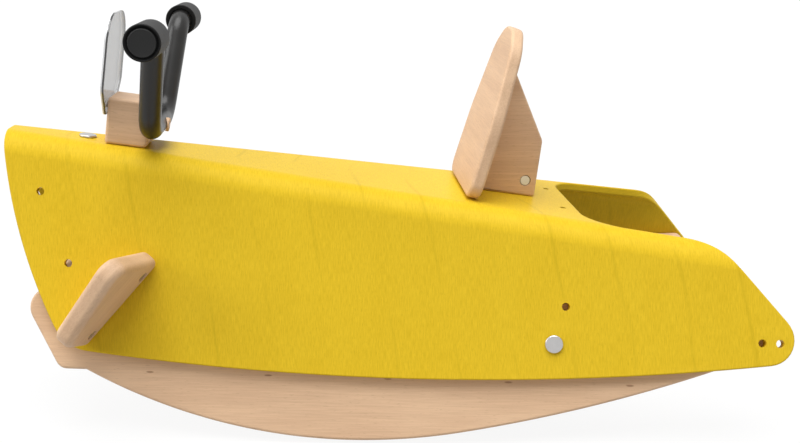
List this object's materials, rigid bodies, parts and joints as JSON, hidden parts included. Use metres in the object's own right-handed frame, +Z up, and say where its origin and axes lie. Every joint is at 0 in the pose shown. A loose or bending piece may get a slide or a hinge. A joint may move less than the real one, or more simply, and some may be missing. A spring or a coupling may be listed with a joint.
{
  "type": "rocking toy motorcycle",
  "caption": "Child's rocking motorcycle: bent yellow plywood body on two beech rocker boards, with foot pegs, tube handlebar, clear windscreen and backrest.",
  "frame": {"origin": "on the floor under the middle of the toy's bounding box", "axes": "-X towards the nose, -Y the rider's left side, +Z up"},
  "size_m": [0.704, 0.307, 0.3771],
  "materials": {
    "yellow_ply": "satin",
    "beech": "satin",
    "bright_steel": "gloss",
    "plated_steel": "satin",
    "black_enamel": "satin",
    "black_rubber": "matte",
    "clear_acrylic": "gloss"
  },
  "bodies": {
    "root": {"body_shell": "yellow_ply", "rocker_left": "beech", "rocker_right": "beech", "foot_peg_left": "beech", "foot_peg_right": "beech", "handlebar_block": "beech", "handlebar_button": "beech", "backrest_plate": "beech", "backrest_bracket": "beech", "backrest_dowel_lower": "beech", "backrest_dowel_upper": "beech", "nose_block": "beech", "nose_bolt": "bright_steel", "nose_cap_nut": "bright_steel", "block_bolt_front": "bright_steel", "block_bolt_rear": "bright_steel", "backrest_bolt": "bright_steel", "rear_bolt_left": "bright_steel", "rear_bolt_right": "bright_steel", "rear_cap_nut_left": "bright_steel", "rear_cap_nut_right": "bright_steel", "peg_bolt_left_lower": "bright_steel", "peg_bolt_left_upper": "bright_steel", "peg_bolt_right_lower": "bright_steel", "peg_bolt_right_upper": "bright_steel", "handlebar_screw": "bright_steel", "windscreen_screw_left": "bright_steel", "windscreen_screw_right": "bright_steel", "peg_nut_left_lower": "plated_steel", "peg_nut_left_upper": "plated_steel", "peg_nut_right_lower": "plated_steel", "peg_nut_right_upper": "plated_steel", "backrest_nut": "plated_steel", "block_insert_front": "plated_steel", "block_insert_rear": "plated_steel", "handlebar_tube": "black_enamel", "grip_left": "black_rubber", "grip_right": "black_rubber", "grip_cap_left": "black_rubber", "grip_cap_right": "black_rubber", "windscreen": "clear_acrylic"}
  },
  "joints": []
}
